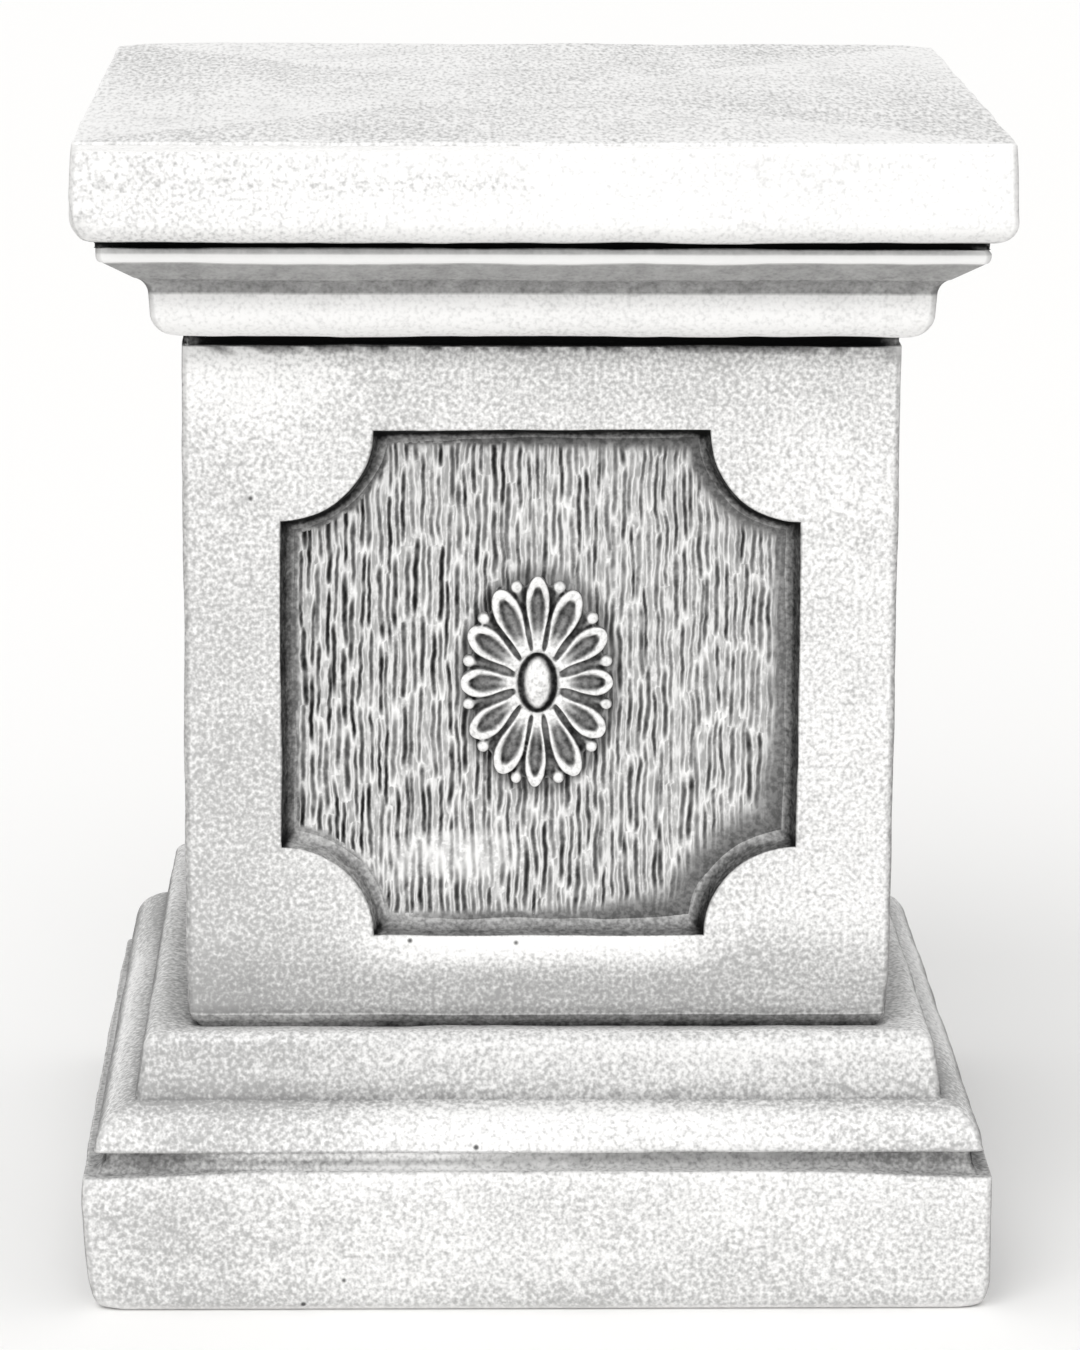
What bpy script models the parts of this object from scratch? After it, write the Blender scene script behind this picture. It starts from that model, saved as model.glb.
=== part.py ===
"""A square garden plinth, cast in one piece of pale stone.

From the top down: a plain slab cap, a bed mould of fillet, cavetto and quarter-round, a square shaft with a
sunk panel in each face, two base rolls and a plain block. The front panel carries an oval rosette.
Metres, +Z up, the front faces -Y and the origin is the middle of the underside.
"""

import math

import bmesh
import bpy
from mathutils import Matrix, Vector

# Heights above the ground, from the top down
HEIGHT = 0.4630
CAP_FOOT = 0.4234
FILLET_FOOT = 0.4150
CAVETTO_FOOT = 0.4005
QUARTER_ROUND_TOP = 0.3935
SHAFT_TOP = 0.3785
SHAFT_FOOT = 0.1150
UPPER_ROLL_TOP = 0.1075
VALLEY = 0.1050
LOWER_ROLL_TOP = 0.0825
COVE_MIDDLE = 0.0620
BLOCK_TOP = 0.0580

# Half widths of the square sections, from the top down
CAP_TOP_HALF = 0.1790
CAP_HALF = 0.1812
FILLET_HALF = 0.1710
FILLET_FOOT_HALF = 0.1690
CAVETTO_HALF = 0.1520
QUARTER_ROUND_HALF = 0.1515
SHAFT_HALF = 0.1400
VALLEY_HALF = 0.1355
UPPER_ROLL_CREST_HALF = 0.1500
UPPER_ROLL_HALF = 0.1570
STEP_HALF = 0.1597
LOWER_ROLL_HALF = 0.1755
COVE_MOUTH_HALF = 0.1757
BLOCK_HALF = 0.1794

# Radii and depths in the mouldings
ARRIS = 0.0015
CAP_ROUND = (0.0090, 0.0096)
CAP_QUIRK = (0.0035, 0.0028)
FILLET_ROUND = (0.0020, 0.0035)
CAVETTO_ROUND = (0.0070, 0.0068)
QUARTER_ROUND = 0.0110
SHAFT_QUIRK_DEPTH = 0.0045
SHAFT_FOOT_ROUND = (0.0060, 0.0100)
UPPER_ROLL_ROUND = 0.0070
UPPER_ROLL_BOW = 0.0006
VALLEY_BOW = 0.0007
LOWER_ROLL_ROUND = (0.0195, 0.0185)
LOWER_ROLL_START = 80
COVE_ROUND = (0.0045, 0.0040)
BLOCK_FOOT_ROUND = (0.0050, 0.0060)
CORNER_ROUND = 0.0030

# The sunk panel: a square whose corners are cut by quadrants about the square's own corners
PANEL_HALF = 0.1010
PANEL_MIDDLE = 0.2444
PANEL_QUADRANT = 0.0360
PANEL_DEPTH = 0.0100
PANEL_COVE = 0.0055
CUTTER_HALF_THICKNESS = 0.0150

# The rosette on the front panel
ROSETTE_CENTRE = (-0.0008, 0.2438)
ROSETTE_HALF = (0.0303, 0.0430)
PETALS = 12
PETAL_HALF_WIDTH = 0.0049
PETAL_ROOT_SHARE = 0.47
PETAL_WIDEST = 0.72
PETAL_RIM_HEIGHT = 0.0034
PETAL_ROOT_HEIGHT = 0.0028
PETAL_TIP_HEIGHT = 0.0024
PETAL_HOLLOW = 0.0020
PETAL_RIB = 0.0006
PETAL_TIP_SHARE = 0.985
BEAD_REACH = 0.975
BEAD_ROOT = 0.60
BEAD_HALF_WIDTH = 0.0023
BEAD_STEM_HALF_WIDTH = 0.0011
BEAD_HEIGHT = 0.0024
COLLAR_MIDDLE = (0.0088, 0.0130)
BOSS_SIDES = 18
EMBEDDED = 0.0010

STONE_COLOUR = (0.80, 0.79, 0.76, 1.0)
STONE_ROUGHNESS = 0.85
SHARP_DEGREES = 32
FLAT_FACE_AREA = 0.004

SIDES = ("front", "right", "back", "left")


def clear_scene():
    for obj in list(bpy.data.objects):
        bpy.data.objects.remove(obj)


def new_collection(name):
    collection = bpy.data.collections.new(name)
    bpy.context.scene.collection.children.link(collection)
    return collection


def stone_material():
    material = bpy.data.materials.new("cast_stone")
    material.use_nodes = True
    shader = material.node_tree.nodes["Principled BSDF"]
    shader.inputs["Base Color"].default_value = STONE_COLOUR
    shader.inputs["Roughness"].default_value = STONE_ROUGHNESS
    shader.inputs["Metallic"].default_value = 0.0
    return material


def make_helper(obj):
    obj.hide_render = True
    obj.display_type = "WIRE"


def arc(centre, radii, start, end, steps):
    """Points on an elliptical arc. Degrees, 0 pointing outwards and 90 up."""
    points = []
    for i in range(steps + 1):
        angle = math.radians(start + (end - start) * i / steps)
        points.append((centre[0] + radii[0] * math.cos(angle), centre[1] + radii[1] * math.sin(angle)))
    return points


def bow(start, end, rise, steps):
    """Points on a shallow arc that swells by rise to the left of the way from start to end."""
    run = Vector(end) - Vector(start)
    across = Vector((-run.y, run.x)).normalized()
    points = []
    for i in range(steps + 1):
        t = i / steps
        points.append(tuple(Vector(start) + run * t + across * rise * 4 * t * (1 - t)))
    return points


def cap_profile():
    face_foot = CAP_FOOT + CAP_ROUND[1]
    top_arris = arc((CAP_TOP_HALF - ARRIS, HEIGHT - ARRIS), (ARRIS, ARRIS), 90, 0, 2)
    soffit = arc((CAP_HALF - CAP_ROUND[0], face_foot), CAP_ROUND, 0, -90, 5)
    return [(0.0, HEIGHT)] + top_arris + soffit


def bed_mould_profile():
    depth, height = CAP_QUIRK
    quirk_back = FILLET_HALF - depth
    quirk = [(quirk_back, CAP_FOOT), (quirk_back, CAP_FOOT - height)]
    fillet_centre = (FILLET_FOOT_HALF, FILLET_FOOT + FILLET_ROUND[1])
    fillet = [(FILLET_HALF, CAP_FOOT - height)] + arc(fillet_centre, FILLET_ROUND, 0, -90, 3)
    cavetto = arc((CAVETTO_HALF + CAVETTO_ROUND[0], CAVETTO_FOOT), CAVETTO_ROUND, 115, 180, 5)
    centre = (QUARTER_ROUND_HALF - QUARTER_ROUND, QUARTER_ROUND_TOP)
    quarter_round = arc(centre, (QUARTER_ROUND, QUARTER_ROUND), 0, -90, 6)
    return quirk + fillet + cavetto + quarter_round


def shaft_profile():
    quirk_back = SHAFT_HALF - SHAFT_QUIRK_DEPTH
    quirk = [(quirk_back, QUARTER_ROUND_TOP - QUARTER_ROUND), (quirk_back, SHAFT_TOP)]
    foot_centre = (SHAFT_HALF - SHAFT_FOOT_ROUND[0], SHAFT_FOOT)
    foot = arc(foot_centre, SHAFT_FOOT_ROUND, 0, -70, 3)
    return quirk + [(SHAFT_HALF, SHAFT_TOP)] + foot


def base_profile():
    crest_centre = (UPPER_ROLL_CREST_HALF, UPPER_ROLL_TOP - UPPER_ROLL_ROUND)
    valley = bow((VALLEY_HALF, VALLEY), (UPPER_ROLL_CREST_HALF, UPPER_ROLL_TOP), VALLEY_BOW, 3)
    crest = arc(crest_centre, (UPPER_ROLL_ROUND, UPPER_ROLL_ROUND), 90, 0, 4)[1:]
    upper_side = bow((UPPER_ROLL_HALF, crest_centre[1]), (STEP_HALF, LOWER_ROLL_TOP), UPPER_ROLL_BOW, 3)[1:]
    roll_centre = (LOWER_ROLL_HALF - LOWER_ROLL_ROUND[0], LOWER_ROLL_TOP - LOWER_ROLL_ROUND[1])
    lower_roll = arc(roll_centre, LOWER_ROLL_ROUND, LOWER_ROLL_START, 0, 6)
    cove = arc((COVE_MOUTH_HALF, COVE_MIDDLE), COVE_ROUND, 120, 270, 5)
    return valley + crest + upper_side + lower_roll + cove


def block_profile():
    top_arris = arc((BLOCK_HALF - ARRIS, BLOCK_TOP - ARRIS), (ARRIS, ARRIS), 90, 0, 2)
    foot_centre = (BLOCK_HALF - BLOCK_FOOT_ROUND[0], BLOCK_FOOT_ROUND[1])
    foot = arc(foot_centre, BLOCK_FOOT_ROUND, 0, -90, 3)
    return top_arris + foot + [(0.0, 0.0)]


def moulded_body(collection, guides):
    """The mouldings run round the square: the profile is turned in four steps about the middle."""
    profile = cap_profile() + bed_mould_profile() + shaft_profile() + base_profile() + block_profile()
    mesh = bpy.data.meshes.new("profile")
    corners = [(half * math.sqrt(2), 0.0, z) for half, z in profile]
    mesh.from_pydata(corners, [(i, i + 1) for i in range(len(corners) - 1)], [])
    turned = bpy.data.objects.new("profile", mesh)
    turned.rotation_euler.z = math.radians(45)
    guides.objects.link(turned)
    make_helper(turned)

    screw = turned.modifiers.new("turn", "SCREW")
    screw.steps = 4
    screw.render_steps = 4
    screw.use_merge_vertices = True
    screw.merge_threshold = 0.0001
    screw.use_smooth_shade = False
    bpy.context.view_layer.update()

    graph = bpy.context.evaluated_depsgraph_get()
    square = bpy.data.meshes.new_from_object(turned.evaluated_get(graph))
    square.transform(turned.matrix_world)
    square.name = "plinth"
    body = bpy.data.objects.new("plinth", square)
    collection.objects.link(body)
    round_the_corners(body)
    return body


def round_the_corners(body):
    """The four upright mitre lines are rounded alike, whatever moulding they pass through."""
    mesh = body.data
    weights = mesh.attributes.new("bevel_weight_edge", "FLOAT", "EDGE")
    for edge in mesh.edges:
        ends = [mesh.vertices[i].co for i in edge.vertices]
        on_mitre = all(abs(abs(end.x) - abs(end.y)) < 1e-5 and abs(end.x) > 1e-3 for end in ends)
        same_corner = ends[0].x * ends[1].x > 0 and ends[0].y * ends[1].y > 0
        weights.data[edge.index].value = 1.0 if on_mitre and same_corner else 0.0
    bevel = body.modifiers.new("corners", "BEVEL")
    bevel.limit_method = "WEIGHT"
    bevel.offset_type = "ABSOLUTE"
    bevel.width = CORNER_ROUND
    bevel.segments = 2


def panel_outline():
    """Anticlockwise round the panel, one quadrant at each corner, starting at the right."""
    points = []
    for quarter in range(len(SIDES)):
        turn = Matrix.Rotation(math.radians(90 * quarter), 2)
        quadrant = arc((PANEL_HALF, PANEL_HALF), (PANEL_QUADRANT, PANEL_QUADRANT), 270, 180, 7)
        points += [turn @ Vector(point) for point in quadrant]
    return points


def mesh_from_curve(curve_object, name):
    """The curve's own surface as a closed mesh, with the curve removed."""
    graph = bpy.context.evaluated_depsgraph_get()
    mesh = bpy.data.meshes.new_from_object(curve_object.evaluated_get(graph))
    mesh.name = name
    work = bmesh.new()
    work.from_mesh(mesh)
    bmesh.ops.remove_doubles(work, verts=work.verts, dist=1e-6)
    bmesh.ops.recalc_face_normals(work, faces=work.faces)
    work.to_mesh(mesh)
    work.free()
    bpy.data.objects.remove(curve_object)
    return mesh


def panel_cutter_mesh(guides):
    curve = bpy.data.curves.new("panel_outline", "CURVE")
    curve.dimensions = "2D"
    curve.fill_mode = "BOTH"
    curve.extrude = CUTTER_HALF_THICKNESS
    outline = panel_outline()
    spline = curve.splines.new("POLY")
    spline.points.add(len(outline) - 1)
    for point, place in zip(spline.points, outline):
        point.co = (place.x, place.y, 0.0, 1.0)
    spline.use_cyclic_u = True
    flat = bpy.data.objects.new("panel_outline", curve)
    guides.objects.link(flat)
    bpy.context.view_layer.update()
    return mesh_from_curve(flat, "panel_cutter")


def side_matrix(side, height, half):
    """Local X runs to the right and local Y up as a side is looked at, local Z out of it."""
    upright = Matrix.Rotation(math.radians(90), 4, "X")
    turn = Matrix.Rotation(math.radians(90 * SIDES.index(side)), 4, "Z")
    return turn @ Matrix.Translation((0.0, -half, height)) @ upright


def sink_panels(body, guides, cutters):
    """Each panel's floor meets its walls in a cove, which is the rounded rim of the cutter's inner face."""
    mesh = panel_cutter_mesh(guides)
    floor_half = SHAFT_HALF - PANEL_DEPTH + CUTTER_HALF_THICKNESS
    for side in SIDES:
        cutter = bpy.data.objects.new(f"panel_cutter_{side}", mesh)
        cutter.matrix_world = side_matrix(side, PANEL_MIDDLE, floor_half)
        cutters.objects.link(cutter)
        make_helper(cutter)
        rim = cutter.vertex_groups.new(name="rim")
        rim.add([v.index for v in mesh.vertices if v.co.z < 0], 1.0, "REPLACE")
        cove = cutter.modifiers.new("cove", "BEVEL")
        cove.limit_method = "VGROUP"
        cove.vertex_group = "rim"
        cove.width = PANEL_COVE
        cove.segments = 3
    cut = body.modifiers.new("panels", "BOOLEAN")
    cut.operation = "DIFFERENCE"
    cut.operand_type = "COLLECTION"
    cut.collection = cutters


def loft(name, rings):
    """A closed skin over rings of equally many points, with a flat face at each end."""
    work = bmesh.new()
    rows = [[work.verts.new(point) for point in ring] for ring in rings]
    count = len(rings[0])
    for upper, lower in zip(rows, rows[1:]):
        for i in range(count):
            j = (i + 1) % count
            work.faces.new((upper[i], upper[j], lower[j], lower[i]))
    work.faces.new(rows[0])
    work.faces.new(list(reversed(rows[-1])))
    bmesh.ops.recalc_face_normals(work, faces=work.faces)
    mesh = bpy.data.meshes.new(name)
    work.to_mesh(mesh)
    work.free()
    return mesh


def on_ellipse(radii, degrees):
    """A point on an upright ellipse. Degrees, clockwise from the top."""
    angle = math.radians(degrees)
    return Vector((radii[0] * math.sin(angle), radii[1] * math.cos(angle)))


def petal_half_width(t, root_half):
    if t < PETAL_WIDEST:
        swell = math.sin(math.pi / 2 * t / PETAL_WIDEST) ** 1.3
        return root_half + (PETAL_HALF_WIDTH - root_half) * swell
    past = PETAL_TIP_SHARE * (t - PETAL_WIDEST) / (1 - PETAL_WIDEST)
    return PETAL_HALF_WIDTH * math.sqrt(1 - past * past)


def petal_height(t):
    if t < PETAL_WIDEST:
        return PETAL_ROOT_HEIGHT + (PETAL_RIM_HEIGHT - PETAL_ROOT_HEIGHT) * t / PETAL_WIDEST
    fall = (t - PETAL_WIDEST) / (1 - PETAL_WIDEST)
    return PETAL_RIM_HEIGHT + (PETAL_TIP_HEIGHT - PETAL_RIM_HEIGHT) * fall * fall


def petal_hollow(t):
    """How far the hollow lies below the rim: it opens slowly from the root and closes near the tip."""
    opening = min(1.0, t / PETAL_WIDEST)
    closing = min(1.0, max(0.0, 0.95 - t) / 0.15)
    return PETAL_HOLLOW * math.sin(math.pi / 2 * opening) * closing


def petal_rings(root, tip, spacing):
    """Sections across a hollowed petal with a raised rim, from its root to its tip, along local Y."""
    rings = []
    for t in (0.0, 0.28, 0.5, 0.66, 0.77, 0.86, 0.93, 0.975, 1.0):
        along = root + (tip - root) * t
        half = petal_half_width(t, PETAL_ROOT_SHARE * spacing)
        rim = petal_height(t)
        hollow = rim - petal_hollow(t)
        rib = hollow + PETAL_RIB * math.sin(math.pi * t)
        right = ((1.0, -EMBEDDED), (1.0, 0.4 * rim), (0.82, 0.93 * rim), (0.60, rim), (0.34, hollow))
        section = [(f * half, z) for f, z in right] + [(0.0, rib)]
        section += [(-f * half, z) for f, z in reversed(right)]
        rings.append([(x, along, z) for x, z in section])
    return rings


def bead_rings(tip):
    """Sections across a stem that rises out of the floor between two petals and ends in a bead."""
    bead = 2 * BEAD_HALF_WIDTH
    rings = [(tip * BEAD_ROOT, BEAD_STEM_HALF_WIDTH, 0.1 * BEAD_HEIGHT)]
    for degrees in (150, 105, 60, 20):
        along = tip - bead / 2 + bead / 2 * math.cos(math.radians(degrees))
        swell = math.sin(math.radians(degrees))
        rings.append((along, BEAD_HALF_WIDTH * swell, BEAD_HEIGHT * (0.45 + 0.55 * swell)))
    profile = ((1.0, -EMBEDDED), (1.0, 0.4), (0.62, 0.86), (0.0, 1.0), (-0.62, 0.86), (-1.0, 0.4), (-1.0, -EMBEDDED))
    return [
        [(f * half, along, z if z < 0 else z * height) for f, z in profile]
        for along, half, height in rings
    ]


def boss_rings():
    """An oval dome in a groove, with a low collar round the groove that the petals spring from."""
    levels = (
        (0.0102, 0.0145, -EMBEDDED),
        (0.0102, 0.0145, 0.0016),
        (0.0096, 0.0138, 0.0028),
        (0.0083, 0.0125, 0.0030),
        (0.0076, 0.0119, 0.0022),
        (0.0070, 0.0114, 0.0008),
        (0.0060, 0.0108, 0.0006),
        (0.0053, 0.0103, 0.0018),
        (0.0045, 0.0089, 0.0034),
        (0.0030, 0.0060, 0.0043),
        (0.0012, 0.0024, 0.0047),
    )
    rings = []
    for half_x, half_y, z in levels:
        ring = [on_ellipse((half_x, half_y), 360 * i / BOSS_SIDES) for i in range(BOSS_SIDES)]
        rings.append([(point.x, point.y, z) for point in ring])
    return rings


def add_rosette(body, carvings):
    """Twelve petals and twelve beads round an oval boss, grown out of the front panel's floor."""
    floor = side_matrix("front", ROSETTE_CENTRE[1], SHAFT_HALF - PANEL_DEPTH)
    floor = Matrix.Translation((ROSETTE_CENTRE[0], 0.0, 0.0)) @ floor
    step = 360 / PETALS
    pieces = [("boss", boss_rings(), 0.0)]
    for i in range(PETALS):
        degrees = i * step
        tip = on_ellipse(ROSETTE_HALF, degrees)
        root = on_ellipse(COLLAR_MIDDLE, degrees)
        spacing = (on_ellipse(COLLAR_MIDDLE, degrees + step / 2) - on_ellipse(COLLAR_MIDDLE, degrees - step / 2)).length
        pieces.append((f"petal_{i + 1}", petal_rings(root.length, tip.length, spacing), math.atan2(tip.x, tip.y)))
        bead_tip = on_ellipse(ROSETTE_HALF, degrees + step / 2) * BEAD_REACH
        pieces.append((f"bead_{i + 1}", bead_rings(bead_tip.length), math.atan2(bead_tip.x, bead_tip.y)))
    for name, rings, direction in pieces:
        piece = bpy.data.objects.new(f"rosette_{name}", loft(f"rosette_{name}", rings))
        piece.matrix_world = floor @ Matrix.Rotation(-direction, 4, "Z")
        carvings.objects.link(piece)
        make_helper(piece)
    grow = body.modifiers.new("rosette", "BOOLEAN")
    grow.operation = "UNION"
    grow.operand_type = "COLLECTION"
    grow.collection = carvings


def take_final_mesh(body):
    """The carved mesh takes the place of the plain one, so that its rounded parts can be shaded smooth."""
    bpy.context.view_layer.update()
    graph = bpy.context.evaluated_depsgraph_get()
    carved = bpy.data.meshes.new_from_object(body.evaluated_get(graph))
    body.modifiers.clear()
    body.data = carved
    carved.name = "plinth"
    carved.shade_smooth()
    carved.set_sharp_from_angle(angle=math.radians(SHARP_DEGREES))
    for face in carved.polygons:
        face.use_smooth = face.area < FLAT_FACE_AREA


def main():
    clear_scene()
    plinth = new_collection("garden_plinth")
    guides = new_collection("guides")
    cutters = new_collection("panel_cutters")
    carvings = new_collection("rosette_carving")
    body = moulded_body(plinth, guides)
    sink_panels(body, guides, cutters)
    add_rosette(body, carvings)
    take_final_mesh(body)
    body.data.materials.clear()
    body.data.materials.append(stone_material())


main()
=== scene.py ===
import math
from functools import partial
from types import SimpleNamespace

import bmesh
import bpy
from mathutils import Matrix, Vector


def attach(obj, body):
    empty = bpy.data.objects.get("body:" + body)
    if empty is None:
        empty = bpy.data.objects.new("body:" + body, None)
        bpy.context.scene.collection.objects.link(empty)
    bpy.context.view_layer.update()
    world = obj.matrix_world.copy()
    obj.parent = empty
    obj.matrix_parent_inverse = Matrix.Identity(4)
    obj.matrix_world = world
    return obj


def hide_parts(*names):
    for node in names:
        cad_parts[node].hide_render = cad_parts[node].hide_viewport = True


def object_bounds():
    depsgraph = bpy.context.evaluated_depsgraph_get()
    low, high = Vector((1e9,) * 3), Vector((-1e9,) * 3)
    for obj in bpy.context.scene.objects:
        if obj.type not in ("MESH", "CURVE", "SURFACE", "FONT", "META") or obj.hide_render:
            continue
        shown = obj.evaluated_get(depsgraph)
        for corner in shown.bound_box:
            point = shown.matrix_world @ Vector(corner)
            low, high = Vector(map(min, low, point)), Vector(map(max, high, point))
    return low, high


# A square garden plinth in pale cast stone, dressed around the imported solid.
# Metres, +Z up; the carved front faces -Y and the origin is the middle of the underside.

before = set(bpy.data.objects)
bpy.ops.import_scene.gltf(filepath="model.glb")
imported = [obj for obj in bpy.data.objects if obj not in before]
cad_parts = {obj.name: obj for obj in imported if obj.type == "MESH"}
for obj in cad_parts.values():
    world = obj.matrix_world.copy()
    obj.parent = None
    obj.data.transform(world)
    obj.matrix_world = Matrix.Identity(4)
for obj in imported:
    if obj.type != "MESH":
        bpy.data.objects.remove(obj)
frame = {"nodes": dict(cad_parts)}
cadLow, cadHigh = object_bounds()
print("frame loaded:", ", ".join(frame["nodes"]))

sideNames = ("front", "right", "back", "left")


# Short ways to write node trees. A Value is a socket that plain sums work on, and each sum adds a node
class Value:
    def __init__(self, socket):
        self.socket, self.tree = socket, socket.id_data

    def __abs__(self):
        return calc("ABSOLUTE", self)


signs = {"add": "ADD", "sub": "SUBTRACT", "mul": "MULTIPLY", "truediv": "DIVIDE", "pow": "POWER"}
for sign, operation in signs.items():
    setattr(Value, f"__{sign}__", lambda self, other, kind=operation: calc(kind, self, other))
    setattr(Value, f"__r{sign}__", lambda self, other, kind=operation: calc(kind, other, self))


def feed(socket, value):
    value = getattr(value, "socket", value)
    if isinstance(value, bpy.types.NodeSocket):
        socket.id_data.links.new(value, socket)
    else:
        socket.default_value = value


def addNode(tree, kind, values=None, **settings):
    node = tree.nodes.new(kind)
    for name, setting in settings.items():
        setattr(node, name, setting)
    for name, value in (values or {}).items():
        feed(node.inputs[name], value)
    return node


def add(tree, kind, values=None, out=0, **settings):
    return Value(addNode(tree, kind, values, **settings).outputs[out])


def treeOf(*values):
    return next(value.tree for value in values if isinstance(value, Value))


def calc(operation, *values, clamp=False):
    numbered = dict(enumerate(values))
    return add(treeOf(*values), "ShaderNodeMath", numbered, operation=operation, use_clamp=clamp)


smaller, larger = partial(calc, "MINIMUM"), partial(calc, "MAXIMUM")
timesPlus = partial(calc, "MULTIPLY_ADD")


def diagonal(x, y):
    return calc("SQRT", x ** 2.0 + y ** 2.0)


def ease(value, low, high, toLow=0.0, toHigh=1.0):
    ends = {"Value": value, "From Min": low, "From Max": high, "To Min": toLow, "To Max": toHigh}
    return add(value.tree, "ShaderNodeMapRange", ends, "Result", interpolation_type="SMOOTHSTEP")


def point(x, y, z):
    return add(treeOf(x, y, z), "ShaderNodeCombineXYZ", {"X": x, "Y": y, "Z": z})


def split(vector):
    node = addNode(vector.tree, "ShaderNodeSeparateXYZ", {0: vector})
    return [Value(socket) for socket in node.outputs]


def turnVector(operation, vector, other=None, out=0):
    values = {0: vector}
    if other is not None:
        values["Scale" if operation == "SCALE" else 1] = other
    return add(vector.tree, "ShaderNodeVectorMath", values, out, operation=operation)


def cloud(vector, scale, detail=2.0, roughness=0.5):
    # Smooth noise round 0.5
    values = {"Vector": vector, "Scale": scale, "Detail": detail, "Roughness": roughness}
    return add(vector.tree, "ShaderNodeTexNoise", values)


def chances(x, y, z):
    # Three random shares that stay the same wherever the three numbers do
    values = {"Vector": point(x, y, z)}
    return split(add(treeOf(x, y, z), "ShaderNodeTexWhiteNoise", values, "Color", noise_dimensions="3D"))


def mixColours(share, first, second):
    return add(share.tree, "ShaderNodeMix", {0: share, 6: first, 7: second}, 2, data_type="RGBA")


def stored(geometry, name, value):
    values = {"Geometry": geometry, "Name": name, "Value": value}
    return add(geometry.tree, "GeometryNodeStoreNamedAttribute", values, data_type="FLOAT", domain="POINT")


def moved(geometry, **values):
    values = {"Geometry": geometry, **values}
    return add(geometry.tree, "GeometryNodeSetPosition", values)


def newTree(name, inputs):
    # A geometry tree with named inputs and a material
    tree = bpy.data.node_groups.new(name, "GeometryNodeTree")
    tree.interface.new_socket("Geometry", in_out="OUTPUT", socket_type="NodeSocketGeometry")
    for label, kind in {**inputs, "Material": "Material"}.items():
        tree.interface.new_socket(label, in_out="INPUT", socket_type="NodeSocket" + kind)
    source = tree.nodes.new("NodeGroupInput")
    return tree, {socket.name: Value(socket) for socket in source.outputs}


def endTree(tree, geometry, material):
    # Every tree ends in real geometry with its material on
    real = add(tree, "GeometryNodeRealizeInstances", {"Geometry": geometry})
    finished = add(tree, "GeometryNodeSetMaterial", {"Geometry": real, "Material": material})
    addNode(tree, "NodeGroupOutput", {"Geometry": finished})
    return tree


def runTree(host, tree, values):
    # Runs a tree on an object and gives the plain mesh that comes out
    modifier = host.modifiers.new(tree.name, "NODES")
    modifier.node_group = tree
    for item in tree.interface.items_tree:
        if item.in_out == "INPUT" and item.name in values:
            modifier[item.identifier] = values[item.name]
    graph = bpy.context.evaluated_depsgraph_get()
    mesh = bpy.data.meshes.new_from_object(host.evaluated_get(graph))
    host.modifiers.remove(modifier)
    return mesh


def addObject(name, mesh):
    piece = bpy.data.objects.new(name, mesh)
    bpy.context.scene.collection.objects.link(piece)
    return piece


def sidePlace(side, x, height, out):
    # A point given by its place on one side as one looks at that side
    turn = Matrix.Rotation(math.radians(90 * sideNames.index(side)), 3, "Z")
    return turn @ Vector((x, -out, height))


def rise(value, low, high):
    # 0 below low, 1 above high and a smooth rise between
    t = min(1.0, max(0.0, (value - low) / (high - low)))
    return t * t * (3 - 2 * t)


# The moulded section. Half widths and heights as in the solid, from the top down
bodyShape = {
    "height": cadHigh.z,
    "capTopHalf": 0.1790,
    "capHalf": 0.1812,
    "capFoot": 0.4234,
    "capRound": (0.0090, 0.0096),
    "capQuirkDepth": 0.0035,
    "capQuirkHeight": 0.0017,
    "filletHalf": 0.1710,
    "filletFootHalf": 0.1690,
    "filletFoot": 0.4150,
    "filletRound": (0.0020, 0.0035),
    "cavettoHalf": 0.1520,
    "cavettoFoot": 0.4005,
    "cavettoRound": (0.0070, 0.0068),
    "quarterRoundHalf": 0.1515,
    "quarterRoundTop": 0.3935,
    "quarterRound": 0.0110,
    "shaftHalf": 0.1400,
    "shaftTop": 0.3796,
    "shaftQuirkDepth": 0.0045,
    "shaftFoot": 0.1150,
    "shaftFootRound": (0.0060, 0.0100),
    "valleyHalf": 0.1355,
    "valley": 0.1050,
    "upperRollCrestHalf": 0.1500,
    "upperRollTop": 0.1075,
    "upperRollRound": 0.0070,
    "stepHalf": 0.1597,
    "lowerRollTop": 0.0825,
    "lowerRollHalf": 0.1755,
    "lowerRollRound": (0.0195, 0.0185),
    "coveMouthHalf": 0.1757,
    "coveMiddle": 0.0620,
    "coveRound": (0.0045, 0.0040),
    "blockTop": 0.0580,
    "blockHalf": 0.1794,
    "blockFootRound": (0.0050, 0.0060),
    "arris": 0.0015,
    "cornerRound": 0.0030,
    "cornerSteps": 4,
    "rowSpacing": 0.0026,
    "marginSteps": 13,
    "middleSteps": 52,
    "frameSteps": 13,
}

panelShape = {
    "half": 0.1010,
    "middle": 0.2444,
    "quadrant": 0.0360,
    "depth": 0.0100,
    "arris": 0.0012,
    "draft": 0.0008,
    "cove": 0.0055,
    "tuck": 0.0020,
    # Painted shade on the panel's arris, walls and coves, set by which way each wall faces
    "dirtHeld": (0.92, 0.52, 0.60),  # Of walls that face down, up and sideways
    "lowerCornerDirt": (0.50, 1.15),
    "arrisDirt": (0.05, 0.30, 1.0),
    "coveDirt": (1.0, 0.85, 0.66, 0.52, 0.44, 0.40, 0.40),
    "coveShadow": (0.0, 0.1, 0.32, 0.30, 0.06, 0.0, 0.0),
}
body, panel = SimpleNamespace(**bodyShape), SimpleNamespace(**panelShape)


def runTo(rows, *goals, spacing=body.rowSpacing):
    # Rows on straight runs from the last one. A row is half width, height and how much painted shade and dirt
    # the stone takes there
    for goal in goals:
        start = rows[-1]
        steps = max(1, math.ceil(math.hypot(goal[0] - start[0], goal[1] - start[1]) / spacing))
        for i in range(1, steps + 1):
            rows.append(tuple(a + (b - a) * i / steps for a, b in zip(start, goal)))


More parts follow.
